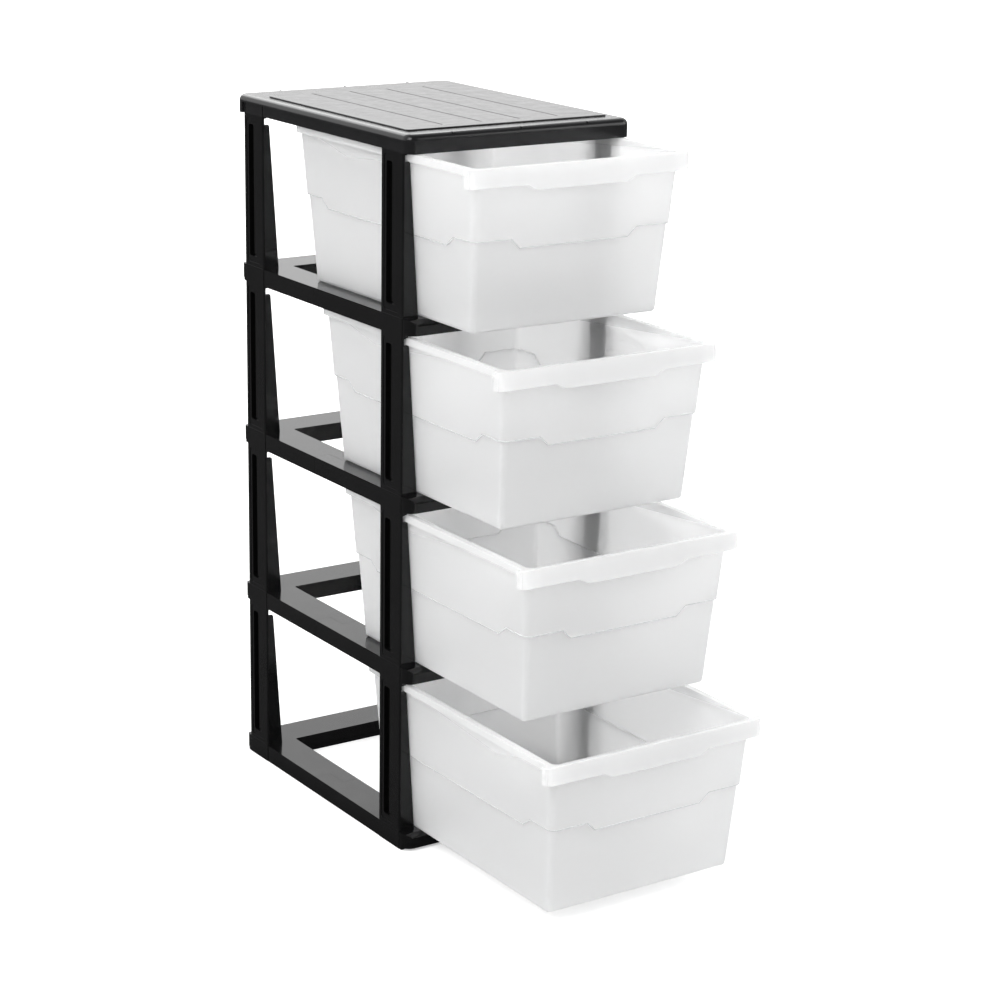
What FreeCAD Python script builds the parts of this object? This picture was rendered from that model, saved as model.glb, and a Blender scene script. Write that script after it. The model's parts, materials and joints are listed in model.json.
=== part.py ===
# Free-standing storage tower: four slide-in drawers in an open plastic frame.
# Millimetres, +Z up. The origin is the middle of the base, on the floor, and the front faces -Y.
import FreeCAD, Part
import math
import os
import Sketcher

os.makedirs("parts", exist_ok=True)
doc = FreeCAD.newDocument("drawer_tower")

# Driving dimensions: alias, value, meaning
SIZES = [
    ("frame_width", 286.5, "outside width of rings and posts"),
    ("frame_depth", 385.0, "outside depth of the rings and of the top panel"),
    ("level_pitch", 200.0, "height from one ring to the next"),
    ("ring_height", 20.5, "height of a ring"),
    ("frame_wall", 2.7, "wall of the rings and of the top panel"),
    ("side_rail_width", 41.0, "width of a ring's side rail"),
    ("end_rail_width", 55.0, "width of a ring's front or rear rail"),
    ("ring_corner_radius", 12.0, "plan radius of a ring's outer corners"),
    ("ring_opening_radius", 3.0, "plan radius of a ring's inner corners"),
    ("ring_end_roll", 7.0, "radius of the rolled top edge at a ring's ends"),
    ("ring_lip_width", 10.0, "how far in from a ring's end its lower edge is raised"),
    ("ring_lip_rise", 3.0, "how much higher that edge stands"),
    ("ring_lap", 30.0, "length over which two ring halves lap"),
    ("ring_rib_wall", 1.6, "thickness of the ribs under a ring"),
    ("ring_rib_pitch", 62.0, "distance between the ribs under an end rail"),
    ("ring_rib_drop", 12.0, "depth of the ribs under a ring"),
    ("seam_gap", 0.3, "gap between two ring halves"),
    ("corner_pad_proud", 0.5, "how far the corner pads stand out of the sides"),
    ("post_setback", 15.0, "from a ring's end to the post"),
    ("post_depth", 44.0, "depth of a post's side flange"),
    ("post_wall", 2.4, "thickness of a post's walls"),
    ("post_edge_radius", 2.0, "radius of a post's outer upright edge"),
    ("plate_foot_width", 20.0, "width of a post's front plate at its foot"),
    ("plate_head_width", 8.8, "width of a post's front plate at its top"),
    ("plate_head_gap", 9.5, "gap above a front plate, for the drawer's rim"),
    ("plate_head_bevel", 1.5, "bevel of a front plate's top corner"),
    ("post_foot_width", 16.0, "width of a post's foot web"),
    ("post_head_width", 4.9, "width of a post's head web"),
    ("post_recess_margin", 4.5, "border round the shallow recess of a post"),
    ("post_recess_depth", 0.6, "depth of the recess of a post"),
    ("post_recess_radius", 4.0, "corner radius of the recess of a post"),
    ("channel_width", 12.0, "width of the upright channel of a post"),
    ("channel_depth", 5.8, "depth of the channel of a post"),
    ("channel_foot_margin", 12.0, "from a post's foot to its channel"),
    ("channel_setback", 9.0, "from a post's rear edge to its channel"),
    ("channel_radius", 3.0, "corner radius of the channel of a post"),
    ("notch_width", 5.5, "width of the notch at the foot of the channel"),
    ("notch_height", 3.5, "height of the notch"),
    ("notch_depth", 2.0, "depth of the notch"),
    ("tenon_length", 8.0, "length of the tenons that join posts and rings"),
    ("tenon_depth", 30.0, "tenon size from front to rear"),
    ("foot_tenon_wall", 5.0, "thickness of a foot tenon"),
    ("foot_tenon_setback", 7.0, "from a post's outer face to its foot tenon"),
    ("fit_clearance", 0.2, "clearance round a tenon"),
    ("panel_overhang", 2.95, "how far the top panel stands out over a ring's side"),
    ("panel_height", 21.0, "height of the top panel without its field"),
    ("panel_roll", 7.0, "radius of the top panel's rolled edge"),
    ("panel_brow", 8.5, "height of the edge that overhangs the side skirts"),
    ("field_side_margin", 15.2, "from the top panel's side to its raised field"),
    ("field_front_margin", 26.5, "from the top panel's front to its raised field"),
    ("field_rear_margin", 51.0, "from the top panel's rear to its raised field"),
    ("field_rise", 1.6, "height of the raised field"),
    ("field_radius", 4.0, "corner radius of the raised field"),
    ("field_edge_radius", 0.7, "radius of the raised field's top edge"),
    ("groove_pitch", 50.5, "distance between the grooves of the field"),
    ("groove_width", 1.7, "width of a groove"),
    ("groove_depth", 1.1, "depth of a groove"),
    ("groove_front_margin", 18.0, "from the field's front edge to the grooves"),
    ("groove_rear_margin", 6.0, "from the field's rear edge to the grooves"),
    ("panel_rib_wall", 1.8, "thickness of the ribs under the top panel"),
    ("panel_rib_drop", 5.0, "depth of the ribs under the top panel"),
    ("panel_rib_pitch", 88.0, "distance between the ribs under the top panel"),
    ("drawer_rear_margin", 5.0, "from a closed drawer's rear to the frame's rear"),
    ("drawer_head_clearance", 1.7, "from a post's plate to the drawer's wall at the top"),
    ("drawer_foot_clearance", 1.95, "the same at the foot"),
    ("drawer_end_draft", 18.0, "how far an end wall leans in from rim to base"),
    ("drawer_front_setback", 4.6, "from the apron's face to the front wall"),
    ("drawer_rear_setback", 5.0, "from the rear rim's face to the rear wall"),
    ("drawer_wall", 1.8, "wall of a drawer"),
    ("drawer_floor", 2.2, "floor of a drawer"),
    ("drawer_top_radius", 9.0, "outer corner radius of a drawer at the rim"),
    ("drawer_base_radius", 8.0, "the same at the base"),
    ("drawer_floor_radius", 4.0, "outer radius between walls and floor"),
    ("drawer_run_clearance", 0.3, "running gap between a drawer and the ring below"),
    ("drawer_rim_clearance", 0.6, "running gap between a drawer and the ring above"),
    ("rim_height", 8.3, "height of the rim of a drawer"),
    ("rim_clearance", 3.05, "from a post's flange to the drawer's side rim"),
    ("rim_wall", 1.6, "wall of the rim"),
    ("apron_overhang", 1.05, "how far the apron stands out over a ring's side"),
    ("apron_height", 20.0, "height of the apron at its ends"),
    ("apron_drop", 6.0, "how much lower the middle of the apron hangs"),
    ("apron_drop_width", 118.0, "width of the low part of the apron"),
    ("apron_ramp", 12.0, "length of the slopes beside the low part"),
    ("apron_wrap", 10.0, "how far the apron wraps round the sides"),
    ("apron_corner_radius", 9.0, "corner radius of the apron"),
    ("apron_wall", 1.8, "wall of the apron"),
    ("apron_rib_wall", 1.5, "thickness of the ribs behind the apron"),
    ("apron_inner_rib_pitch", 45.0, "from the middle rib to the next"),
    ("apron_outer_rib_pitch", 34.0, "between the ribs further out"),
    ("step_inset", 2.5, "how far the lower walls stand in"),
    ("step_height", 100.5, "height of the step near the corners"),
    ("step_dip", 10.5, "how much lower the step runs between the corners"),
    ("step_front_width", 140.0, "width of the low run on the ends"),
    ("step_front_ramp", 11.5, "length of its slopes"),
    ("step_side_run", 38.0, "length of the high run at the ends of the sides"),
    ("step_side_ramp", 14.0, "length of its slopes"),
    ("overrun", 2.0, "how far a cutting shape runs past the piece"),
]

# How far each drawer stands out of the frame, from the floor up
PULLED_OUT = [
    ("pulled_out_1", 278.0, "the lowest drawer"),
    ("pulled_out_2", 224.5, "the second drawer"),
    ("pulled_out_3", 174.5, "the third drawer"),
    ("pulled_out_4", 114.0, "the top drawer"),
]

LEVELS = len(PULLED_OUT)

sheet = doc.addObject("Spreadsheet::Sheet", "Sizes")


class Size:
    """A length with its value and the expression that gives it from the sheet."""

    def __init__(self, value, text):
        self.value = value
        self.text = text

    def __add__(self, other):
        return Size(self.value + other.value, f"({self.text} + {other.text})")

    def __sub__(self, other):
        return Size(self.value - other.value, f"({self.text} - {other.text})")

    def __neg__(self):
        return Size(-self.value, f"(-1 * {self.text})")

    def __mul__(self, share):
        return Size(self.value * share, f"({self.text} * {share})")

    def __truediv__(self, share):
        return Size(self.value / share, f"({self.text} / {share})")


ZERO = Size(0.0, "0")


def fill_sheet():
    """Write every driving dimension into the sheet and give it its alias."""
    sizes = {}
    for row, (alias, value, meaning) in enumerate(SIZES + PULLED_OUT, start=1):
        sheet.set(f"A{row}", meaning)
        sheet.set(f"B{row}", str(value))
        sheet.setAlias(f"B{row}", alias)
        sizes[alias] = Size(value, f"Sizes.{alias}")
    doc.recompute()
    return sizes


D = fill_sheet()

half_width = D["frame_width"] / 2
half_depth = D["frame_depth"] / 2
post_height = D["level_pitch"] - D["ring_height"]
drawer_height = post_height - D["drawer_run_clearance"] - D["drawer_rim_clearance"]
drawer_length = D["frame_depth"] - D["drawer_rear_margin"]
drawer_top_side = half_width - D["plate_head_width"] - D["drawer_head_clearance"]
drawer_base_side = half_width - D["plate_foot_width"] - D["drawer_foot_clearance"] + D["step_inset"]


def bind(target, prop, size):
    """Tie a property to the sheet."""
    target.setExpression(prop, size.text)


# Sketches
PLANE_ROLES = {"XY": "XY_Plane", "XZ": "XZ_Plane", "YZ": "YZ_Plane"}
QUARTER_TURN = 90.0
THIRD_TURN = 120.0
PLANE_TURNS = {
    "XY": FreeCAD.Rotation(),
    "XZ": FreeCAD.Rotation(FreeCAD.Vector(1, 0, 0), QUARTER_TURN),
    "YZ": FreeCAD.Rotation(FreeCAD.Vector(1, 1, 1), THIRD_TURN),
}
PLANE_NORMALS = {"XY": (0, 0, 1), "XZ": (0, -1, 0), "YZ": (1, 0, 0)}


def new_sketch(body, name, plane, lift):
    """An empty sketch on a plane: in a body on its origin plane, or free in the document."""
    if body is None:
        sketch = doc.addObject("Sketcher::SketchObject", name)
        sketch.Placement = FreeCAD.Placement(FreeCAD.Vector(), PLANE_TURNS[plane])
        for axis, share in zip("xyz", PLANE_NORMALS[plane]):
            if share:
                bind(sketch, f"Placement.Base.{axis}", lift * share)
        return sketch
    sketch = body.newObject("Sketcher::SketchObject", name)
    origin_plane = [f for f in body.Origin.OriginFeatures if f.Role == PLANE_ROLES[plane]][0]
    sketch.AttachmentSupport = [(origin_plane, "")]
    sketch.MapMode = "FlatFace"
    bind(sketch, "AttachmentOffset.Base.z", lift)
    return sketch


def pin_point(sketch, curve, point, place):
    """Hold one end or centre of a curve at its place by two driven distances."""
    for kind, size in zip(("DistanceX", "DistanceY"), place):
        pin_along(sketch, curve, point, kind, size)


def pin_along(sketch, curve, point, kind, size):
    number = sketch.addConstraint(Sketcher.Constraint(kind, -1, 1, curve, point, size.value))
    label = f"pin{number}"
    sketch.renameConstraint(number, label)
    bind(sketch, f"Constraints.{label}", size)


def unit_step(here, there):
    """The direction from one corner to the next, for outlines along the axes."""
    across = there[0].value - here[0].value
    up = there[1].value - here[1].value
    reach = math.hypot(across, up)
    return across / reach, up / reach


def moved(place, step, radius):
    """A place moved by a radius along an axis direction."""
    return (place[0] + radius * round(step[0]), place[1] + radius * round(step[1]))


def add_outline(sketch, corners):
    """Draw a closed outline. A corner is (x, y), or (x, y, radius) between two edges
    that run along the axes."""
    count = len(corners)
    starts = []
    ends = []
    arcs = []
    for index, corner in enumerate(corners):
        before = corners[index - 1]
        after = corners[(index + 1) % count]
        if len(corner) < 3:
            ends.append(corner)
            starts.append(corner)
            arcs.append(None)
            continue
        step_in = unit_step(before, corner)
        step_out = unit_step(corner, after)
        radius = corner[2]
        first = moved(corner, step_in, -radius)
        last = moved(corner, step_out, radius)
        centre = moved(first, step_out, radius)
        ends.append(first)
        starts.append(last)
        turns_left = step_in[0] * step_out[1] - step_in[1] * step_out[0] > 0
        arcs.append((centre, radius, turns_left))
    lines = []
    for index in range(count):
        start = starts[index]
        end = ends[(index + 1) % count]
        a = FreeCAD.Vector(start[0].value, start[1].value, 0)
        b = FreeCAD.Vector(end[0].value, end[1].value, 0)
        line = sketch.addGeometry(Part.LineSegment(a, b), False)
        lines.append(line)
        pin_point(sketch, line, 1, start)
    for index in range(count):
        arriving = lines[index - 1]
        leaving = lines[index]
        if arcs[index] is None:
            sketch.addConstraint(Sketcher.Constraint("Coincident", arriving, 2, leaving, 1))
            continue
        pin_point(sketch, arriving, 2, ends[index])
        add_corner_arc(sketch, arriving, leaving, ends[index], starts[index], arcs[index])


def add_corner_arc(sketch, arriving, leaving, first, last, arc):
    """Round one corner of an outline with a quarter arc."""
    centre, radius, turns_left = arc
    angles = []
    for place in (first, last):
        across = place[0].value - centre[0].value
        up = place[1].value - centre[1].value
        angles.append(math.atan2(up, across))
    middle = FreeCAD.Vector(centre[0].value, centre[1].value, 0)
    circle = Part.Circle(middle, FreeCAD.Vector(0, 0, 1), radius.value)
    if turns_left:
        curve = sketch.addGeometry(Part.ArcOfCircle(circle, angles[0], angles[1]), False)
        first_point, last_point = 1, 2
    else:
        curve = sketch.addGeometry(Part.ArcOfCircle(circle, angles[1], angles[0]), False)
        first_point, last_point = 2, 1
    sketch.addConstraint(Sketcher.Constraint("Coincident", arriving, 2, curve, first_point))
    sketch.addConstraint(Sketcher.Constraint("Coincident", leaving, 1, curve, last_point))
    pin_along(sketch, curve, 3, "DistanceX", centre[0])


def outlined(body, name, plane, lift, *outlines):
    """A sketch with one or more closed outlines."""
    sketch = new_sketch(body, name, plane, lift)
    for corners in outlines:
        add_outline(sketch, corners)
    return sketch


def rectangle(x0, x1, y0, y1, radius=None):
    """The corners of a rectangle, rounded where a radius is given."""
    places = [(x0, y0), (x1, y0), (x1, y1), (x0, y1)]
    if radius is None:
        return places
    return [place + (radius,) for place in places]


# Features of a body
def new_body(name):
    return doc.addObject("PartDesign::Body", name)


def pad(body, name, sketch, length, reverse=False):
    feature = body.newObject("PartDesign::Pad", name)
    feature.Profile = sketch
    feature.Reversed = reverse
    bind(feature, "Length", length)
    doc.recompute()
    return feature


def pocket(body, name, sketch, length, reverse=False):
    """Cut a sketch out of a body, and stop if nothing was cut."""
    before = body.Shape.Volume
    feature = body.newObject("PartDesign::Pocket", name)
    feature.Profile = sketch
    feature.Reversed = reverse
    bind(feature, "Length", length)
    doc.recompute()
    if body.Shape.Volume >= before:
        raise RuntimeError(f"{name} cuts nothing")
    return feature


def edges_where(shape, test):
    """Names of the edges whose two ends and middle all pass a test."""
    names = []
    for number, edge in enumerate(shape.Edges, start=1):
        middle = edge.valueAt((edge.FirstParameter + edge.LastParameter) / 2)
        points = [vertex.Point for vertex in edge.Vertexes] + [middle]
        if all(test(point) for point in points):
            names.append(f"Edge{number}")
    return names


TOUCH = 0.01


def near(value, size):
    return abs(value - size.value) < TOUCH


def fillet(body, name, test, radius):
    """Round the edges of a body that pass a test."""
    base = body.Tip
    names = edges_where(base.Shape, test)
    if not names:
        raise RuntimeError(f"{name} finds no edges")
    feature = body.newObject("PartDesign::Fillet", name)
    feature.Base = (base, names)
    bind(feature, "Radius", radius)
    doc.recompute()
    return feature


# The ring half: a U-shaped moulding, open below, that laps with its twin at mid-depth
def ring_outline(inset, corner_cut):
    """Plan of the front ring half, drawn in by an inset. Its left outer band and its right
    inner band reach past the middle, and the twin turned half round fills the rest."""
    lap = D["ring_lap"] / 2
    seam = D["seam_gap"] / 2
    side = half_width - inset
    opening = half_width - D["side_rail_width"] + inset
    front = -half_depth + inset
    back_of_front = -half_depth + D["end_rail_width"] - inset
    far = lap - seam - inset
    short = -lap - seam - inset
    left_band = -half_width + D["side_rail_width"] / 2 - seam - inset
    right_band = half_width - D["side_rail_width"] / 2 - seam - inset
    corners = []
    if corner_cut is None:
        corners += [(-side, front), (side, front)]
    else:
        corners += [(-side, front + corner_cut), (-side + corner_cut, front)]
        corners += [(side - corner_cut, front), (side, front + corner_cut)]
    corners += [(side, short), (right_band, short), (right_band, far), (opening, far)]
    corners += [(opening, back_of_front), (-opening, back_of_front)]
    corners += [(-opening, short), (left_band, short), (left_band, far), (-side, far)]
    return corners


def post_span():
    """Front and rear of the posts at the front of the frame."""
    front = -half_depth + D["post_setback"]
    return front, front + D["post_depth"]


def tenon_span():
    """Front and rear of a tenon in its post, measured from the post's front."""
    middle = D["post_depth"] / 2
    return middle - D["tenon_depth"] / 2, middle + D["tenon_depth"] / 2


def build_ring_half():
    body = new_body("ring_half_mould")
    height = D["ring_height"]
    wall = D["frame_wall"]
    plan = outlined(body, "ring_plan", "XY", ZERO, ring_outline(ZERO, None))
    pad(body, "ring_blank", plan, height)

    def on_front_top(point):
        return near(point.y, -half_depth) and near(point.z, height)

    def on_opening_corner(point):
        inner_side = half_width - D["side_rail_width"]
        inner_front = -half_depth + D["end_rail_width"]
        return near(abs(point.x), inner_side) and near(point.y, inner_front)

    fillet(body, "ring_end_roll", on_front_top, D["ring_end_roll"])
    fillet(body, "ring_opening_corners", on_opening_corner, D["ring_opening_radius"])
    trims = outlined(body, "corner_trim_plan", "XY", ZERO, *corner_trim_outlines())
    pocket(body, "ring_outer_corners", trims, height + D["overrun"], reverse=True)

    corner_cut = D["ring_corner_radius"] - wall
    hollow = outlined(body, "ring_hollow_plan", "XY", ZERO, ring_outline(wall, corner_cut))
    pocket(body, "ring_hollow", hollow, height - wall, reverse=True)

    def under_roll(point):
        return near(point.y, -half_depth + wall) and near(point.z, height - wall)

    fillet(body, "ring_inner_roll", under_roll, D["ring_end_roll"] - wall)

    ribs = outlined(body, "ring_rib_plan", "XY", height - wall, *ring_rib_outlines())
    pad(body, "ring_ribs", ribs, D["ring_rib_drop"], reverse=True)

    pads = outlined(body, "corner_pad_plan", "XY", ZERO, *corner_pad_outlines())
    pad(body, "corner_pads", pads, height)

    lip = outlined(body, "lip_face", "YZ", -half_width - D["overrun"], lip_outline())
    pocket(body, "raised_lip", lip, D["frame_width"] + D["overrun"] * 2, reverse=True)

    mortises = outlined(body, "mortise_plan", "XY", height - wall, *mortise_outlines())
    pocket(body, "mortises", mortises, wall + D["overrun"], reverse=True)
    return body


def lip_outline():
    """What is cut off the lower edge along a ring's end, seen from the side."""
    front = -half_depth - D["overrun"]
    return rectangle(front, -half_depth + D["ring_lip_width"], -D["overrun"], D["ring_lip_rise"])


def corner_trim_outlines():
    """What is cut off the square front corners to round them in plan."""
    radius = D["ring_corner_radius"]
    front = -half_depth
    before = front - D["overrun"]
    behind = front + radius + D["overrun"]
    inner = half_width - radius - D["overrun"]
    outer = half_width + D["overrun"]
    plan = [(inner, before), (outer, before), (outer, behind), (half_width, behind)]
    plan += [(half_width, front, radius), (inner, front)]
    outlines = []
    for side in (-1, 1):
        outlines.append([(corner[0] * side,) + corner[1:] for corner in plan])
    return outlines


def ring_rib_outlines():
    """Stiffening ribs across the channel under a ring half."""
    half_rib = D["ring_rib_wall"] / 2
    wall = D["frame_wall"]
    outlines = []
    for share in (-1, 0, 1):
        middle = D["ring_rib_pitch"] * share
        front = -half_depth + wall / 2
        rear = -half_depth + D["end_rail_width"] - wall / 2
        outlines.append(rectangle(middle - half_rib, middle + half_rib, front, rear))
    for side in (-1, 1):
        outer = (half_width - wall / 2) * side
        inner = (half_width - D["side_rail_width"] + wall / 2) * side
        low, high = (outer, inner) if side < 0 else (inner, outer)
        middle = -half_depth + D["end_rail_width"] + D["ring_rib_pitch"] / 2
        outlines.append(rectangle(low, high, middle - half_rib, middle + half_rib))
    return outlines


def corner_pad_outlines():
    """Pads that stand a little out of the sides beside the posts."""
    front, rear = post_span()
    outer = half_width + D["corner_pad_proud"]
    inner = half_width - D["frame_wall"] / 2
    return [rectangle(-outer, -inner, front, rear), rectangle(inner, outer, front, rear)]


def mortise_outlines():
    """Openings in the top of a ring for the foot tenons of the posts above."""
    front = post_span()[0] + tenon_span()[0] - D["fit_clearance"]
    rear = post_span()[0] + tenon_span()[1] + D["fit_clearance"]
    outer = half_width - D["foot_tenon_setback"] + D["fit_clearance"]
    inner = half_width - D["foot_tenon_setback"] - D["foot_tenon_wall"] - D["fit_clearance"]
    return [rectangle(-outer, -inner, front, rear), rectangle(inner, outer, front, rear)]


# The post: an L of a side flange and a front plate that widens downwards.
# Its own zero is the outer face, the front and the foot.
def build_post():
    body = new_body("post_mould")
    wall = D["post_wall"]
    depth = D["post_depth"]
    plate_top = post_height - D["plate_head_gap"]

    flange = outlined(body, "flange_plan", "XY", ZERO, rectangle(ZERO, wall, ZERO, depth))
    pad(body, "flange", flange, post_height)

    head = D["plate_head_width"]
    bevel = D["plate_head_bevel"]
    plate_corners = [(ZERO, ZERO), (D["plate_foot_width"], ZERO), (head, plate_top - bevel)]
    plate_corners += [(head - bevel, plate_top), (ZERO, plate_top)]
    plate = outlined(body, "plate_face", "XZ", ZERO, plate_corners)
    pad(body, "front_plate", plate, wall, reverse=True)

    foot = rectangle(ZERO, D["post_foot_width"], ZERO, depth)
    pad(body, "foot_web", outlined(body, "foot_plan", "XY", ZERO, foot), wall)
    head_web = rectangle(ZERO, D["post_head_width"], ZERO, depth)
    head_plan = outlined(body, "head_plan", "XY", post_height - wall, head_web)
    pad(body, "head_web", head_plan, wall)

    front, rear = tenon_span()
    foot_outer = D["foot_tenon_setback"]
    foot_tenon = rectangle(foot_outer, foot_outer + D["foot_tenon_wall"], front, rear)
    foot_tenon_plan = outlined(body, "foot_tenon_plan", "XY", ZERO, foot_tenon)
    pad(body, "foot_tenon", foot_tenon_plan, D["tenon_length"], reverse=True)
    head_outer = D["frame_wall"] + D["fit_clearance"]
    head_tenon = rectangle(head_outer, D["post_head_width"], front, rear)
    head_tenon_plan = outlined(body, "head_tenon_plan", "XY", post_height, head_tenon)
    pad(body, "head_tenon", head_tenon_plan, D["tenon_length"])

    channel_rear = depth - D["channel_setback"]
    channel_front = channel_rear - D["channel_width"]
    channel_low = D["channel_foot_margin"]
    channel_high = plate_top - wall
    back = rectangle(channel_front - wall, channel_rear + wall, channel_low - wall, plate_top)
    back_face = outlined(body, "channel_back_face", "YZ", ZERO, back)
    pad(body, "channel_back", back_face, D["channel_depth"] + wall)

    def on_outer_edge(point):
        return near(point.x, ZERO) and near(point.y, ZERO)

    fillet(body, "post_outer_edge", on_outer_edge, D["post_edge_radius"])

    margin = D["post_recess_margin"]
    recess_front = margin + D["post_edge_radius"]
    recess_radius = D["post_recess_radius"]
    recess = rectangle(recess_front, depth - margin, margin, post_height - margin, recess_radius)
    recess_face = outlined(body, "recess_face", "YZ", ZERO, recess)
    pocket(body, "recess", recess_face, D["post_recess_depth"], reverse=True)

    channel = rectangle(channel_front, channel_rear, channel_low, channel_high, D["channel_radius"])
    channel_face = outlined(body, "channel_face", "YZ", ZERO, channel)
    pocket(body, "channel", channel_face, D["channel_depth"], reverse=True)
    notch_front = channel_front - D["notch_width"]
    notch_rear = channel_front + D["channel_radius"]
    notch = rectangle(notch_front, notch_rear, channel_low, channel_low + D["notch_height"])
    notch_face = outlined(body, "notch_face", "YZ", ZERO, notch)
    pocket(body, "notch", notch_face, D["notch_depth"], reverse=True)
    return body


# The top panel: a shallow cap with a rolled edge and a raised, grooved field.
# Its own zero is the middle of its underside.
def build_top_panel():
    body = new_body("top_panel_mould")
    side = half_width + D["panel_overhang"]
    end = half_depth
    height = D["panel_height"]
    wall = D["frame_wall"]
    radius = D["ring_corner_radius"]

    plan = outlined(body, "panel_plan", "XY", ZERO, rectangle(-side, side, -end, end, radius))
    pad(body, "panel_blank", plan, height)

    def on_top_edge(point):
        return near(point.z, height)

    fillet(body, "panel_roll", on_top_edge, D["panel_roll"])

    flank_end = half_depth - D["post_setback"]
    outside = side + D["overrun"]
    flanks = [rectangle(-outside, -half_width, -flank_end, flank_end)]
    flanks += [rectangle(half_width, outside, -flank_end, flank_end)]
    flank_plan = outlined(body, "flank_plan", "XY", ZERO, *flanks)
    pocket(body, "flanks", flank_plan, height - D["panel_brow"], reverse=True)

    hollow = panel_hollow_outline(half_width - wall, end - wall, radius)
    hollow_plan = outlined(body, "panel_hollow_plan", "XY", ZERO, hollow)
    pocket(body, "panel_hollow", hollow_plan, height - wall, reverse=True)

    def under_roll(point):
        return near(abs(point.y), end - wall) and near(point.z, height - wall)

    fillet(body, "panel_inner_roll", under_roll, D["panel_roll"] - wall)

    pads = panel_pad_outlines(-1) + panel_pad_outlines(1)
    pad_plan = outlined(body, "panel_pad_plan", "XY", ZERO, *pads)
    pad(body, "panel_corner_pads", pad_plan, height - D["panel_brow"])

    field_side = side - D["field_side_margin"]
    field_front = -end + D["field_front_margin"]
    field_rear = end - D["field_rear_margin"]
    field = rectangle(-field_side, field_side, field_front, field_rear, D["field_radius"])
    field_plan = outlined(body, "field_plan", "XY", height, field)
    pad(body, "field", field_plan, D["field_rise"])
    field_top = height + D["field_rise"]
    under_side = field_side - wall
    under_field = rectangle(-under_side, under_side, field_front + wall, field_rear - wall)
    under_plan = outlined(body, "under_field_plan", "XY", height - wall, under_field)
    pocket(body, "under_field", under_plan, D["field_rise"], reverse=True)

    def on_field_edge(point):
        return near(point.z, field_top)

    fillet(body, "field_edge", on_field_edge, D["field_edge_radius"])

    ribs = outlined(body, "panel_rib_plan", "XY", height, *panel_rib_outlines(end))
    pad(body, "panel_ribs", ribs, wall + D["panel_rib_drop"], reverse=True)

    grooves = groove_outlines(field_front, field_rear)
    groove_plan = outlined(body, "groove_plan", "XY", field_top - D["groove_depth"], *grooves)
    pocket(body, "grooves", groove_plan, D["groove_depth"] + D["overrun"], reverse=True)
    return body


def panel_hollow_outline(side, end, corner_cut):
    """The hollow under the top panel, cut across its corners."""
    corners = [(-side, -end + corner_cut), (-side + corner_cut, -end)]
    corners += [(side - corner_cut, -end), (side, -end + corner_cut)]
    corners += [(side, end - corner_cut), (side - corner_cut, end)]
    corners += [(-side + corner_cut, end), (-side, end - corner_cut)]
    return corners


def panel_rib_outlines(end):
    """Ribs under the top panel, from front to rear."""
    half_rib = D["panel_rib_wall"] / 2
    reach = end - D["frame_wall"] / 2
    outlines = []
    for share in (-1, 0, 1):
        middle = D["panel_rib_pitch"] * share
        outlines.append(rectangle(middle - half_rib, middle + half_rib, -reach, reach))
    return outlines


def panel_pad_outlines(side):
    """Corner pads on one flank of the top panel, above its two posts."""
    outer = half_width + D["corner_pad_proud"]
    inner = half_width - D["frame_wall"] / 2
    low, high = (-outer, -inner) if side < 0 else (inner, outer)
    front, rear = post_span()
    return [rectangle(low, high, front, rear), rectangle(low, high, -rear, -front)]


def groove_outlines(field_front, field_rear):
    """Grooves along the field, evenly spaced about its middle."""
    half_groove = D["groove_width"] / 2
    front = field_front + D["groove_front_margin"]
    rear = field_rear - D["groove_rear_margin"]
    outlines = []
    for share in (-1.5, -0.5, 0.5, 1.5):
        middle = D["groove_pitch"] * share
        outlines.append(rectangle(middle - half_groove, middle + half_groove, front, rear))
    return outlines


# The drawer: drafted walls with a stepped waist, a hollow rim and a front apron.
# Its own zero is the middle of its width, the apron's face and its underside.
def between(at_base, at_rim, height):
    """A size that runs evenly from the base to the rim, at a height above the base."""
    gain = f"({at_rim.text} - {at_base.text})"
    text = f"({at_base.text} + {gain} * {height.text} / {drawer_height.text})"
    share = height.value / drawer_height.value
    return Size(at_base.value + (at_rim.value - at_base.value) * share, text)


def wall_section(name, height, inset):
    """The outline of the walls at a height, drawn in by an inset."""
    side = between(drawer_base_side, drawer_top_side, height) - inset
    rim_front = D["drawer_front_setback"]
    rim_rear = drawer_length - D["drawer_rear_setback"]
    draft = D["drawer_end_draft"]
    front = between(rim_front + draft, rim_front, height) + inset
    rear = between(rim_rear - draft, rim_rear, height) - inset
    radius = between(D["drawer_base_radius"], D["drawer_top_radius"], height) - inset
    return outlined(None, name, "XY", height, rectangle(-side, side, front, rear, radius))


def tapered(name, low, high, inset):
    """A solid between two heights of the walls."""
    loft = doc.addObject("Part::Loft", name)
    bottom = wall_section(f"{name}_low", low, inset)
    top = wall_section(f"{name}_high", high, inset)
    loft.Sections = [bottom, top]
    loft.Solid = True
    loft.Ruled = True
    doc.recompute()
    return loft


def rounded_below(name, loft, height, radius):
    """Round the lowest edges of a tapered solid."""
    numbers = []
    for label in edges_where(loft.Shape, lambda point: near(point.z, height)):
        numbers.append(int(label[len("Edge"):]))
    feature = doc.addObject("Part::Fillet", name)
    feature.Base = loft
    feature.Edges = [(number, radius.value, radius.value) for number in numbers]
    doc.recompute()
    return feature


def extruded(name, sketch, plane, length):
    """A prism on a free sketch, along its plane's normal."""
    prism = doc.addObject("Part::Extrusion", name)
    prism.Base = sketch
    prism.DirMode = "Custom"
    prism.Dir = FreeCAD.Vector(*PLANE_NORMALS[plane])
    prism.Solid = True
    bind(prism, "LengthFwd", length)
    return prism


def prism_on_top(name, low, high, *outlines):
    """An upright prism between two heights."""
    return extruded(name, outlined(None, f"{name}_plan", "XY", low, *outlines), "XY", high - low)


def combined(kind, name, first, second):
    feature = doc.addObject(kind, name)
    feature.Base = first
    feature.Tool = second
    return feature


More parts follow.
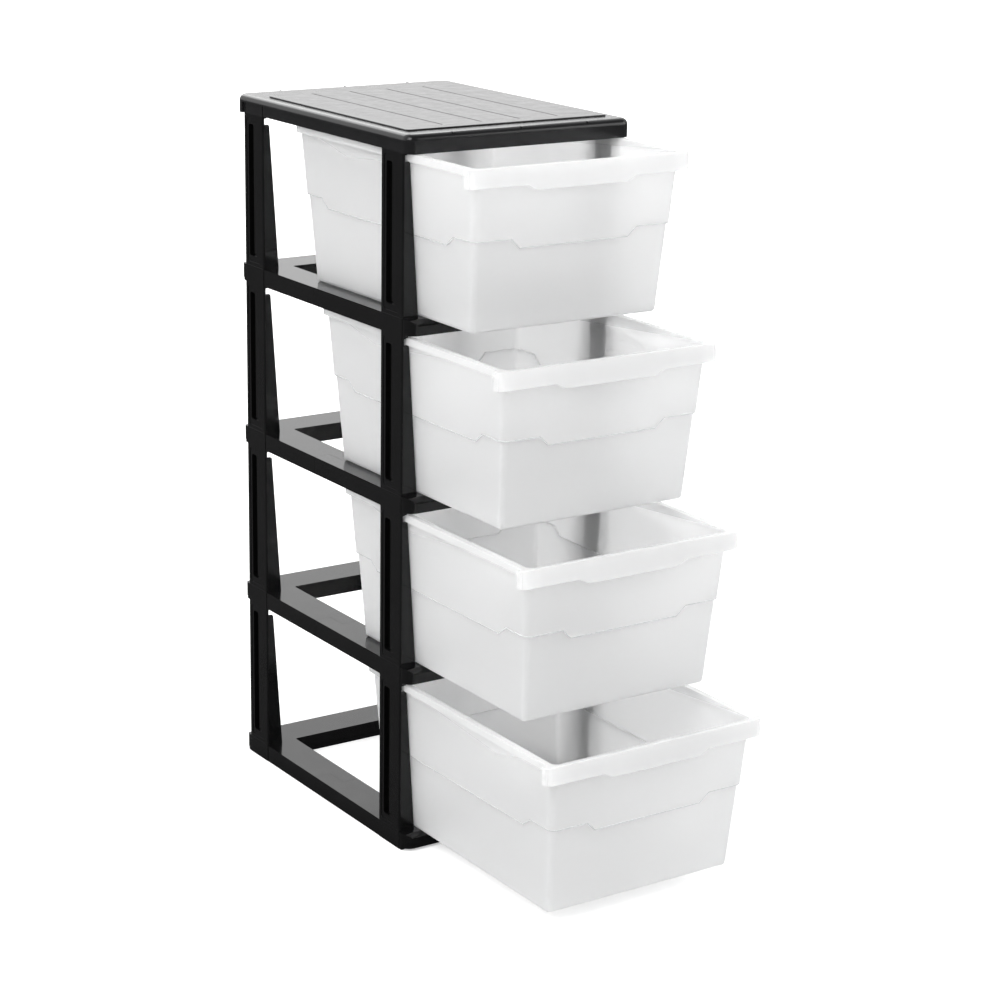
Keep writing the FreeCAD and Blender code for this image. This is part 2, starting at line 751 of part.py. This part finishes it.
def fused(name, parts):
    feature = doc.addObject("Part::MultiFuse", name)
    feature.Shapes = parts
    return feature


def waist_mask(name, lift):
    """All that lies above the stepped waist, raised by a lift: two broad prisms, one that
    dips in the middle of the ends and one that dips along the sides."""
    high = D["step_height"] + lift
    low = high - D["step_dip"]
    top = drawer_height + D["overrun"] * 2
    reach = drawer_top_side + D["overrun"]
    dip = D["step_front_width"] / 2
    ramp = dip + D["step_front_ramp"]
    ends = [(-reach, high), (-ramp, high), (-dip, low), (dip, low), (ramp, high)]
    ends += [(reach, high), (reach, top), (-reach, top)]
    ends_face = outlined(None, f"{name}_ends_face", "XZ", D["overrun"], ends)
    across = extruded(f"{name}_ends", ends_face, "XZ", drawer_length + D["overrun"] * 2)
    across.Dir = FreeCAD.Vector(0, 1, 0)

    front = -D["overrun"]
    rear = drawer_length + D["overrun"]
    high_run = D["drawer_end_draft"] / 2 + D["step_side_run"]
    first = D["drawer_front_setback"] + high_run
    last = drawer_length - D["drawer_rear_setback"] - high_run
    ramp = D["step_side_ramp"]
    sides = [(front, high), (first, high), (first + ramp, low), (last - ramp, low)]
    sides += [(last, high), (rear, high), (rear, top), (front, top)]
    sides_face = outlined(None, f"{name}_sides_face", "YZ", -reach, sides)
    along = extruded(f"{name}_sides", sides_face, "YZ", reach * 2)
    return fused(name, [across, along])


def build_rim():
    """The hollow rim along the sides and the rear."""
    side = half_width - D["post_wall"] - D["rim_clearance"]
    rear = drawer_length
    radius = D["drawer_top_radius"] + D["drawer_rear_setback"]
    wall = D["rim_wall"]
    front = D["apron_wall"] / 2
    low = drawer_height - D["rim_height"]
    plan = [(-side, front), (side, front), (side, rear, radius), (-side, rear, radius)]
    block = prism_on_top("rim_block", low, drawer_height, plan)
    inner = side - wall
    channel_front = D["apron_wall"]
    channel_rear = rear - wall
    channel_radius = radius - wall
    channel_plan = [(-inner, channel_front), (inner, channel_front)]
    channel_plan += [(inner, channel_rear, channel_radius), (-inner, channel_rear, channel_radius)]
    channel = prism_on_top("rim_channel", low - D["overrun"], drawer_height - wall, channel_plan)
    return combined("Part::Cut", "rim", block, channel)


def build_apron():
    """The deeper apron that covers the front and wraps round its corners."""
    side = half_width + D["apron_overhang"]
    wrap = D["apron_wrap"]
    radius = D["apron_corner_radius"]
    wall = D["apron_wall"]
    low = drawer_height - D["apron_height"] - D["apron_drop"]
    plan = [(-side, ZERO, radius), (side, ZERO, radius), (side, wrap), (-side, wrap)]
    block = prism_on_top("apron_block", low, drawer_height, plan)
    inner = side - wall
    inner_radius = radius - wall
    behind = wrap + D["overrun"]
    channel_plan = [(-inner, wall, inner_radius), (inner, wall, inner_radius)]
    channel_plan += [(inner, behind), (-inner, behind)]
    channel = prism_on_top("apron_channel", low - D["overrun"], drawer_height - wall, channel_plan)
    hollow = combined("Part::Cut", "apron_hollow", block, channel)

    ends = drawer_height - D["apron_height"]
    dip = D["apron_drop_width"] / 2
    ramp = dip + D["apron_ramp"]
    reach = side + D["overrun"]
    top = drawer_height + D["overrun"]
    face = [(-reach, ends), (-ramp, ends), (-dip, low), (dip, low), (ramp, ends)]
    face += [(reach, ends), (reach, top), (-reach, top)]
    outline = outlined(None, "apron_face", "XZ", D["overrun"], face)
    keep = extruded("apron_outline", outline, "XZ", wrap + D["overrun"] * 2)
    keep.Dir = FreeCAD.Vector(0, 1, 0)
    return combined("Part::Common", "apron", hollow, keep)


def build_apron_ribs():
    """Upright ribs between the apron and the front wall."""
    half_rib = D["apron_rib_wall"] / 2
    inner = D["apron_inner_rib_pitch"]
    outer = D["apron_outer_rib_pitch"]
    places = [ZERO, inner, inner + outer, inner + outer * 2]
    places += [-place for place in places[1:]]
    outlines = []
    for place in places:
        front = D["apron_wall"] / 2
        rear = D["drawer_front_setback"] + D["drawer_wall"] * 2
        outlines.append(rectangle(place - half_rib, place + half_rib, front, rear))
    low = drawer_height - D["apron_height"] + D["apron_rib_wall"]
    return prism_on_top("apron_ribs", low, drawer_height - D["apron_wall"] / 2, *outlines)


def build_drawer():
    step = D["step_inset"]
    wall = D["drawer_wall"]
    floor = D["drawer_floor"]
    above = drawer_height + D["overrun"]

    lower = tapered("lower_walls", ZERO, drawer_height, step)
    lower = rounded_below("lower_walls_rounded", lower, ZERO, D["drawer_floor_radius"])
    upper = tapered("upper_walls", ZERO, drawer_height, ZERO)
    upper = combined("Part::Common", "upper_walls_kept", upper, waist_mask("waist", ZERO))
    outside = fused("drawer_outside", [lower, upper, build_rim(), build_apron(), build_apron_ribs()])

    lower_space = tapered("lower_space", floor, above, step + wall)
    inner_radius = D["drawer_floor_radius"] - wall
    lower_space = rounded_below("lower_space_rounded", lower_space, floor, inner_radius)
    upper_space = tapered("upper_space", floor, above, wall)
    inner_waist = waist_mask("inner_waist", wall)
    upper_space = combined("Part::Common", "upper_space_kept", upper_space, inner_waist)
    inside = fused("drawer_inside", [lower_space, upper_space])
    return combined("Part::Cut", "drawer_mould", outside, inside)


# Placed pieces
pieces = []


def place(name, mould, x, y, z, turned=False):
    """A piece made in a mould and set in its place in the tower."""
    piece = doc.addObject("Part::Compound", name)
    piece.Label = name
    piece.Links = [mould]
    if turned:
        half_turn = FreeCAD.Rotation(2 * QUARTER_TURN, 0, 0)
        piece.Placement = FreeCAD.Placement(FreeCAD.Vector(), half_turn)
    bind(piece, "Placement.Base.x", x)
    bind(piece, "Placement.Base.y", y)
    bind(piece, "Placement.Base.z", z)
    pieces.append(piece)
    return piece


def build_tower():
    ring_half = build_ring_half()
    left_post = build_post()
    right_post = doc.addObject("Part::Mirroring", "right_post_mould")
    right_post.Source = left_post
    right_post.Normal = FreeCAD.Vector(1, 0, 0)
    drawer = build_drawer()

    front_post = post_span()[0]
    rear_post = -post_span()[1]
    for level in range(LEVELS):
        ring_z = D["level_pitch"] * level
        post_z = ring_z + D["ring_height"]
        number = level + 1
        place(f"ring_{number}_front", ring_half, ZERO, ZERO, ring_z)
        place(f"ring_{number}_rear", ring_half, ZERO, ZERO, ring_z, turned=True)
        place(f"post_{number}_front_left", left_post, -half_width, front_post, post_z)
        place(f"post_{number}_front_right", right_post, half_width, front_post, post_z)
        place(f"post_{number}_rear_left", left_post, -half_width, rear_post, post_z)
        place(f"post_{number}_rear_right", right_post, half_width, rear_post, post_z)
        drawer_y = -half_depth - D[f"pulled_out_{number}"]
        place(f"drawer_{number}", drawer, ZERO, drawer_y, post_z + D["drawer_run_clearance"])
    place("top_panel", build_top_panel(), ZERO, ZERO, D["level_pitch"] * LEVELS)


def check_and_write():
    """Stop on any failed object or bad shape, and write each piece to its file."""
    doc.recompute()
    for item in doc.Objects:
        if "Invalid" in item.State or "Error" in item.State:
            raise RuntimeError(f"{item.Name} failed: {item.State}")
    for piece in pieces:
        if piece.Shape.isNull() or not piece.Shape.isValid():
            raise RuntimeError(f"{piece.Label} has a bad shape")
        if len(piece.Shape.Solids) != 1:
            raise RuntimeError(f"{piece.Label} has {len(piece.Shape.Solids)} solids")
    for piece in pieces:
        piece.Shape.exportStep(f"parts/{piece.Label}.step")
        box = piece.Shape.BoundBox
        print(f"{piece.Label}: {piece.Shape.Volume:.0f} mm3, z {box.ZMin:.1f} to {box.ZMax:.1f}")


build_tower()
check_and_write()
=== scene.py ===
import json
import math

import bmesh
import bpy
from mathutils import Matrix, Vector

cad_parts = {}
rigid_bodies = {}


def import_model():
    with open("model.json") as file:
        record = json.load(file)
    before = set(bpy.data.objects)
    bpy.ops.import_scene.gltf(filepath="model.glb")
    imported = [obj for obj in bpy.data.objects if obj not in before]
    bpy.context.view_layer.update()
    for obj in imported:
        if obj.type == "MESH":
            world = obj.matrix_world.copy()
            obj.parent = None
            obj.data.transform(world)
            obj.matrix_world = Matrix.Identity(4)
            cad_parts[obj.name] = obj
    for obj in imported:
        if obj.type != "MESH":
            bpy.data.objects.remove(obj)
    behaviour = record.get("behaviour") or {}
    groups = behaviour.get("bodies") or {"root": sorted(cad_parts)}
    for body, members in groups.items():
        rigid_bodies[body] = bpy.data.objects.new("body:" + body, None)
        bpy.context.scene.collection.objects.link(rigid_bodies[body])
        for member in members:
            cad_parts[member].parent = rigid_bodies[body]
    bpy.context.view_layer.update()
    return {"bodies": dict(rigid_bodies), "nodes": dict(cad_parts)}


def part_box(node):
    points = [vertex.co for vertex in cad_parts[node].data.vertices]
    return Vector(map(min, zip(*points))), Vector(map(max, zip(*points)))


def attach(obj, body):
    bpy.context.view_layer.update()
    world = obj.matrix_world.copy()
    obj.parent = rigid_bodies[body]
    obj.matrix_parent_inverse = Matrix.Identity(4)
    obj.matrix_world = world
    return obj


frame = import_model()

MM = 0.001
CRISP_ANGLE = math.radians(25)

# Where the lid's grooves, the posts' channels and the drawers' rims lie in the box of their piece;
# grooves and channels get painted shade
GROOVE_MIDDLES = (25.25 * MM, 75.75 * MM)
GROOVE_HALF_WIDTH = 1.0 * MM
GROOVE_TOP, GROOVE_BED = 0.3 * MM, 1.3 * MM
CHANNEL_MOUTH, CHANNEL_BED = 1.2 * MM, 6.4 * MM
CHANNEL_FRONT, CHANNEL_REAR = 22.5 * MM, 35.5 * MM
CHANNEL_FOOT = 19.0 * MM
APRON_THICKNESS, APRON_DROP = 3.0 * MM, 27.0 * MM
RIM_DROP = 9.0 * MM

# The drawers' walls as they lie at the rim and at the base, from the apron's face and the underside
DRAWER_HEIGHT = 178.6 * MM
RIM_SIDE, BASE_SIDE = 132.75 * MM, 123.8 * MM
RIM_FRONT, BASE_FRONT = 4.6 * MM, 22.6 * MM
RIM_REAR, BASE_REAR = 375.0 * MM, 357.0 * MM
RIM_CORNER, BASE_CORNER = 9.0 * MM, 8.0 * MM
WAIST_HIGH, WAIST_LOW = 100.5 * MM, 90.0 * MM
WAIST_END_DIP, WAIST_END_HIGH = 70.0 * MM, 81.5 * MM
WAIST_SIDE_HIGH, WAIST_SIDE_DIP = 51.6 * MM, 65.6 * MM
WAIST_REAR_DIP, WAIST_REAR_HIGH = 314.0 * MM, 328.0 * MM
CORNER_STEPS = 6
LIP_RADIUS = 0.75 * MM
LIP_SINK = 0.4 * MM
LIP_ROUNDNESS = 3

# Colours, from dark to light, and finishes, from glossy to dull
WHITE = (1, 1, 1, 1)
FRAME_SHADE, FRAME_GLOSS, FRAME_GRAIN = (0.0032, 0.0032, 0.0034), (0.10, 0.18), 40.0
PANEL_SHADE, PANEL_GLOSS, PANEL_GRAIN = (0.007, 0.007, 0.0075), (0.17, 0.26), 260.0
GRAIN_DEPTH = 0.02 * MM
# Painted shade for the posts' channels and the lid's grooves: near-black levels, varied a little by
# dust
PAINTED_SHADE_AND_DUST, DUST_DULLNESS, DUST_DEPTH = (0.0008, 0.0025), (0.75, 0.95), 0.05 * MM
CLEAR_SHADES = ((0.97, 0.972, 0.974), (0.99, 0.991, 0.992))
MILK_SHADES = ((0.975, 0.977, 0.979), (0.99, 0.991, 0.992))
MILK_THROWN_BACK = 0.35
FROST_DEPTH = 0.05 * MM
DRAWER_MILK, DRAWER_FROST = 0.33, (0.29, 0.34)
RIM_MILK, RIM_FROST, RIM_WHITENESS = 0.55, (0.19, 0.25), 0.965

# The floor and surroundings: their levels to the eye, and how mirrored rays see them
FLOOR_RADIUS, FLOOR_SIDES, FLOOR_SINK = 40.0, 96, 0.2 * MM
FLOOR_PAINT, FLOOR_MIRRORED = (0.80, 0.82), 0.075
GLOW_LEVELS, GLOW_REACH, GLOW_MIRRORED = (0.42, 1.0), (0.8, 6.0), 0.05
SKY_LIGHT, SKY_SEEN = 0.97, 1.0
SKY_MIRRORED, SKY_TURN = (0.12, 1.4), (-0.2, 0.5)

# Each lamp's place, size and power
LAMP_AIM = (0, 0, 0.4)
LAMPS = {
    "key": ((-2.6, -1.4, 2.8), (2.2, 2.2), 87),
    "fill": ((2.8, -2.2, 1.8), (2.4, 2.0), 50),
    "back": ((0.8, 3.0, 2.6), (3.0, 1.6), 40),
}

CAMERA_TURNS = (33.9065, 16.2686, -0.9951)
CAMERA_PLACE = (-1.57886, -2.50877, 1.21705)
SENSOR_WIDTH, FOCAL_LENGTH = 36.0, 93.081
CLIP_NEAR, CLIP_FAR = 0.05, 200.0


# Node materials
def new_material(name):
    material = bpy.data.materials.new(name)
    material.use_nodes = True
    tree = material.node_tree
    tree.nodes.clear()
    return material, tree


def node(tree, kind, inputs=None, **settings):
    """A node with its settings, and a link or a plain value for each named input."""
    made = tree.nodes.new(kind)
    for key, value in settings.items():
        setattr(made, key, value)
    for key, value in (inputs or {}).items():
        if isinstance(value, bpy.types.NodeSocket):
            tree.links.new(value, made.inputs[key])
        else:
            made.inputs[key].default_value = value
    return made


def place_vector(tree, stretch=(1, 1, 1)):
    """Places on the object in metres, stretched for drawn-out patterns."""
    coords = node(tree, "ShaderNodeTexCoord").outputs["Object"]
    return node(tree, "ShaderNodeMapping", {"Vector": coords, "Scale": stretch}).outputs["Vector"]


def noise(tree, vector, scale, detail=3.0, rough=0.5):
    inputs = {"Vector": vector, "Scale": scale, "Detail": detail, "Roughness": rough}
    return node(tree, "ShaderNodeTexNoise", inputs).outputs["Fac"]


def spread(tree, value, low, high, start=0.3, end=0.7):
    """A value spread over a range."""
    inputs = {"Value": value, "From Min": start, "From Max": end, "To Min": low, "To Max": high}
    return node(tree, "ShaderNodeMapRange", inputs).outputs["Result"]


def shades(tree, value, dark, light, start=0.3, end=0.7):
    """A colour between two shades."""
    made = node(tree, "ShaderNodeValToRGB", {"Fac": value})
    for stop, place, shade in zip(made.color_ramp.elements, (start, end), (dark, light)):
        stop.position = place
        stop.color = (*shade, 1)
    return made.outputs["Color"]


def bump(tree, height, depth, strength):
    inputs = {"Height": height, "Strength": strength, "Distance": depth}
    return node(tree, "ShaderNodeBump", inputs).outputs["Normal"]


def mixed(tree, share, first, second):
    """Two shaders mixed, with a share for the second."""
    inputs = {0: share, 1: first.outputs[0], 2: second.outputs[0]}
    return node(tree, "ShaderNodeMixShader", inputs)


def worked_out(tree, operation, first, second):
    return node(tree, "ShaderNodeMath", {0: first, 1: second}, operation=operation).outputs[0]


def lighter(shade, factor):
    return tuple(factor * part for part in shade)


def grey(level):
    return (level, level, level)


def show(tree, shader, kind="ShaderNodeOutputMaterial"):
    """Send a shader to the output."""
    node(tree, kind, {"Surface": shader.outputs[0]})


def black_plastic(name, shade, gloss, grain_scale):
    """Black moulded plastic: a low-grain skin with faint flow marks and handling wear."""
    material, tree = new_material(name)
    vector = place_vector(tree)
    cloud = noise(tree, vector, scale=14.0, detail=4.0)
    flow = place_vector(tree, stretch=(1, 1, 6))
    streaks = noise(tree, flow, scale=60.0, detail=5.0, rough=0.6)
    grain = noise(tree, vector, grain_scale, detail=1.0)
    show(tree, node(tree, "ShaderNodeBsdfPrincipled", {
        "IOR": 1.4,
        "Base Color": shades(tree, cloud, lighter(shade, 0.8), lighter(shade, 1.3)),
        "Roughness": spread(tree, streaks, *gloss),
        "Normal": bump(tree, grain, GRAIN_DEPTH, strength=0.4),
    }))
    return material


def painted_shade_black(name):
    """Painted shade for the inside of channels and grooves: near-black, matt and barely mirroring,
    with a little dust.
    """
    material, tree = new_material(name)
    dust = noise(tree, place_vector(tree), scale=220.0, detail=4.0)
    show(tree, node(tree, "ShaderNodeBsdfPrincipled", {
        "Specular IOR Level": 0.03,
        "Base Color": shades(tree, dust, *map(grey, PAINTED_SHADE_AND_DUST)),
        "Roughness": spread(tree, dust, *DUST_DULLNESS),
        "Normal": bump(tree, dust, DUST_DEPTH, strength=0.3),
    }))
    return material


def frosted_plastic(name, milk_share, frost, whiteness=1.0):
    """Natural see-through plastic: a clear body with a milky, finely frosted skin."""
    material, tree = new_material(name)
    vector = place_vector(tree)
    cloud = noise(tree, vector, scale=9.0)
    waves = noise(tree, vector, scale=30.0, detail=1.0)
    normal = bump(tree, waves, FROST_DEPTH, strength=0.3)
    clear = node(tree, "ShaderNodeBsdfPrincipled", {
        "IOR": 1.49,
        "Transmission Weight": 0.85,
        "Base Color": shades(tree, cloud, *CLEAR_SHADES),
        "Roughness": spread(tree, cloud, *frost),
        "Normal": normal,
    })
    tint = shades(tree, cloud, *(lighter(shade, whiteness) for shade in MILK_SHADES))
    skin = {"Color": tint, "Normal": normal}
    through = node(tree, "ShaderNodeBsdfTranslucent", skin)
    back = node(tree, "ShaderNodeBsdfDiffuse", skin)
    milk = mixed(tree, MILK_THROWN_BACK, through, back)
    show(tree, mixed(tree, milk_share, clear, milk))
    return material


frame_gloss = black_plastic("frame_gloss", FRAME_SHADE, FRAME_GLOSS, FRAME_GRAIN)
panel_grain = black_plastic("panel_grain", PANEL_SHADE, PANEL_GLOSS, PANEL_GRAIN)
# The channels' and grooves' material is painted shade: near-black and matt where shade falls
channel_painted_shade = painted_shade_black("channel_painted_shade")
drawer_frost = frosted_plastic("drawer_frost", DRAWER_MILK, DRAWER_FROST)
rim_frost = frosted_plastic("rim_frost", RIM_MILK, RIM_FROST, RIM_WHITENESS)


# The CAD nodes
def dress(name, *materials):
    """Give a CAD node its materials, and shading that is smooth on curves and crisp on edges."""
    piece = frame["nodes"][name]
    piece.data.materials.clear()
    for material in materials:
        piece.data.materials.append(material)
    crisp = piece.modifiers.new("crisp_edges", "EDGE_SPLIT")
    crisp.split_angle = CRISP_ANGLE
    piece.modifiers.new("even_shading", "WEIGHTED_NORMAL")
    return piece


def paint(piece, test, *facts):
    """Give the second material to the faces that pass a test."""
    for face in piece.data.polygons:
        if test(face.center, *facts):
            face.material_index = 1


def in_channel(centre, low, high, side):
    """True for the faces that line a post's upright channel, which get painted shade."""
    depth = centre.x - low.x if side < 0 else high.x - centre.x
    inside = CHANNEL_MOUTH < depth < CHANNEL_BED
    along = low.y + CHANNEL_FRONT < centre.y < low.y + CHANNEL_REAR
    return inside and along and centre.z > low.z + CHANNEL_FOOT


def in_groove(centre, high):
    """True for the faces that line a groove of the lid's raised field, which get painted shade."""
    sunk = high.z - GROOVE_BED < centre.z < high.z - GROOVE_TOP
    offsets = [abs(abs(centre.x) - middle) for middle in GROOVE_MIDDLES]
    return sunk and min(offsets) < GROOVE_HALF_WIDTH


def on_rim(centre, low, high):
    """True for the faces of a drawer's rim and front apron."""
    apron = centre.y < low.y + APRON_THICKNESS and centre.z > high.z - APRON_DROP
    return apron or centre.z > high.z - RIM_DROP


for name in frame["nodes"]:
    low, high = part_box(name)
    if name.startswith("drawer"):
        paint(dress(name, drawer_frost, rim_frost), on_rim, low, high)
    elif name == "top_panel":
        # The lid's grooves get painted shade as their second material
        paint(dress(name, panel_grain, channel_painted_shade), in_groove, high)
    elif name.startswith("ring"):
        dress(name, frame_gloss)
    else:
        side = -1 if "left" in name else 1
        # The posts' channels get painted shade as their second material
        paint(dress(name, frame_gloss, channel_painted_shade), in_channel, low, high, side)


# The soft lip along the drawers' stepped waist
def between(base, rim, height):
    return base + (rim - base) * height / DRAWER_HEIGHT


def wall_side(height):
    return between(BASE_SIDE, RIM_SIDE, height) - LIP_SINK


def wall_front(height):
    return between(BASE_FRONT, RIM_FRONT, height) + LIP_SINK


def wall_rear(height):
    return between(BASE_REAR, RIM_REAR, height) - LIP_SINK


def waist_plan():
    """Corners of the waist line: a place along the end walls and the side walls, and its height."""
    ends = [(-WAIST_END_HIGH, WAIST_HIGH), (-WAIST_END_DIP, WAIST_LOW)]
    ends += [(WAIST_END_DIP, WAIST_LOW), (WAIST_END_HIGH, WAIST_HIGH)]
    sides = [(WAIST_SIDE_HIGH, WAIST_HIGH), (WAIST_SIDE_DIP, WAIST_LOW)]
    sides += [(WAIST_REAR_DIP, WAIST_LOW), (WAIST_REAR_HIGH, WAIST_HIGH)]
    return ends, sides


def corner_arc(toward_x, toward_y):
    """A rounded corner of the walls at the waist's high run."""
    radius = between(BASE_CORNER, RIM_CORNER, WAIST_HIGH) - LIP_SINK
    middle_x = (wall_side(WAIST_HIGH) - radius) * toward_x
    rear_middle, front_middle = wall_rear(WAIST_HIGH) - radius, wall_front(WAIST_HIGH) + radius
    middle_y = rear_middle if toward_y > 0 else front_middle
    first = math.atan2(0, toward_x) if toward_x * toward_y > 0 else math.atan2(toward_y, 0)
    arc = []
    for step in range(CORNER_STEPS + 1):
        turn = first + math.radians(90) * step / CORNER_STEPS
        x = middle_x + radius * math.cos(turn)
        y = middle_y + radius * math.sin(turn)
        arc.append((x, y, WAIST_HIGH))
    return arc


def waist_line():
    """The outer edge of the waist, once round, from the apron's face and the underside."""
    ends, sides = waist_plan()
    line = [(x, wall_front(z), z) for x, z in ends]
    line += corner_arc(1, -1)
    line += [(wall_side(z), y, z) for y, z in sides]
    line += corner_arc(1, 1)
    line += [(x, wall_rear(z), z) for x, z in reversed(ends)]
    line += corner_arc(-1, 1)
    line += [(-wall_side(z), y, z) for y, z in reversed(sides)]
    line += corner_arc(-1, -1)
    return line


def build_waist_lip(name):
    low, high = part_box(name)
    curve = bpy.data.curves.new(f"{name}_waist_lip", "CURVE")
    curve.dimensions = "3D"
    curve.bevel_depth = LIP_RADIUS
    curve.bevel_resolution = LIP_ROUNDNESS
    line = waist_line()
    spline = curve.splines.new("POLY")
    spline.points.add(len(line) - 1)
    for point, (x, y, z) in zip(spline.points, line):
        point.co = (x, low.y + y, low.z + z, 1)
    spline.use_cyclic_u = True
    curve.materials.append(rim_frost)
    lip = bpy.data.objects.new(f"{name}_waist_lip", curve)
    bpy.context.scene.collection.objects.link(lip)
    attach(lip, name)


for name in frame["bodies"]:
    if name.startswith("drawer"):
        build_waist_lip(name)


# Floor, surroundings, camera and lamps
def seen_by(tree, mirrored):
    """One for rays from the camera and through clear plastic, and a share for mirrored ones."""
    rays = node(tree, "ShaderNodeLightPath").outputs
    dimmed = worked_out(tree, "MULTIPLY", rays["Is Glossy Ray"], mirrored)
    seen = worked_out(tree, "MAXIMUM", rays["Is Camera Ray"], dimmed)
    return worked_out(tree, "MAXIMUM", seen, rays["Is Transmission Ray"])


def build_floor():
    material, tree = new_material("floor_white")
    vector = place_vector(tree)
    cloud = noise(tree, vector, scale=3.0)
    color = shades(tree, cloud, *map(grey, FLOOR_PAINT))
    painted = node(tree, "ShaderNodeBsdfDiffuse", {"Color": color})
    shaded = node(tree, "ShaderNodeBsdfDiffuse", {"Color": (*grey(FLOOR_MIRRORED), 1)})
    glossy = node(tree, "ShaderNodeLightPath").outputs["Is Glossy Ray"]
    ground = mixed(tree, glossy, painted, shaded)
    reach = node(tree, "ShaderNodeVectorMath", {0: vector}, operation="LENGTH").outputs["Value"]
    far = spread(tree, reach, *GLOW_LEVELS, *GLOW_REACH)
    level = worked_out(tree, "MULTIPLY", seen_by(tree, GLOW_MIRRORED), far)
    glow = node(tree, "ShaderNodeEmission", {"Color": WHITE, "Strength": level})
    show(tree, node(tree, "ShaderNodeAddShader", {0: ground.outputs[0], 1: glow.outputs[0]}))
    mesh = bpy.data.meshes.new("floor")
    shape = bmesh.new()
    bmesh.ops.create_circle(shape, cap_ends=True, radius=FLOOR_RADIUS, segments=FLOOR_SIDES)
    shape.to_mesh(mesh)
    shape.free()
    floor = bpy.data.objects.new("floor", mesh)
    floor.location.z = -FLOOR_SINK
    mesh.materials.append(material)
    bpy.context.scene.collection.objects.link(floor)


def build_world():
    """White to the eye; in mirrors it brightens from dark at the front to a lit wall behind."""
    world = bpy.data.worlds.new("studio")
    bpy.context.scene.world = world
    world.use_nodes = True
    tree = world.node_tree
    tree.nodes.clear()
    soft = node(tree, "ShaderNodeBackground", {"Color": WHITE, "Strength": SKY_LIGHT})
    bright = node(tree, "ShaderNodeBackground", {"Color": WHITE, "Strength": SKY_SEEN})
    direct = mixed(tree, seen_by(tree, 0.0), soft, bright)
    ways = node(tree, "ShaderNodeTexCoord").outputs["Generated"]
    rearward = node(tree, "ShaderNodeSeparateXYZ", {0: ways}).outputs["Y"]
    strength = spread(tree, rearward, *SKY_MIRRORED, *SKY_TURN)
    wall = node(tree, "ShaderNodeBackground", {"Color": WHITE, "Strength": strength})
    glossy = node(tree, "ShaderNodeLightPath").outputs["Is Glossy Ray"]
    show(tree, mixed(tree, glossy, direct, wall), "ShaderNodeOutputWorld")


def build_camera():
    """The photograph's viewpoint, from the front left and a little above."""
    yaw, pitch, roll = map(math.radians, CAMERA_TURNS)
    ahead_level = math.cos(pitch)
    ahead = Vector((math.sin(yaw) * ahead_level, math.cos(yaw) * ahead_level, -math.sin(pitch)))
    right = Vector((math.cos(yaw), -math.sin(yaw), 0))
    down = ahead.cross(right)
    across = math.cos(roll) * right + math.sin(roll) * down
    fall = -math.sin(roll) * right + math.cos(roll) * down
    turn = Matrix((across, -fall, -ahead)).transposed().to_4x4()
    data = bpy.data.cameras.new("camera")
    data.sensor_width = SENSOR_WIDTH
    data.lens = FOCAL_LENGTH
    data.clip_start, data.clip_end = CLIP_NEAR, CLIP_FAR
    camera = bpy.data.objects.new("camera", data)
    camera.matrix_world = Matrix.Translation(CAMERA_PLACE) @ turn
    bpy.context.scene.collection.objects.link(camera)
    bpy.context.scene.camera = camera


def add_lamp(name, place, size, power):
    data = bpy.data.lights.new(name, "AREA")
    data.shape = "RECTANGLE"
    data.size, data.size_y = size
    data.energy = power
    lamp = bpy.data.objects.new(name, data)
    lamp.location = place
    aim = Vector(LAMP_AIM) - Vector(place)
    lamp.rotation_euler = aim.to_track_quat("-Z", "Y").to_euler()
    bpy.context.scene.collection.objects.link(lamp)


build_floor()
build_world()
build_camera()
for name, facts in LAMPS.items():
    add_lamp(name, *facts)
bpy.context.scene.view_settings.view_transform = "Standard"
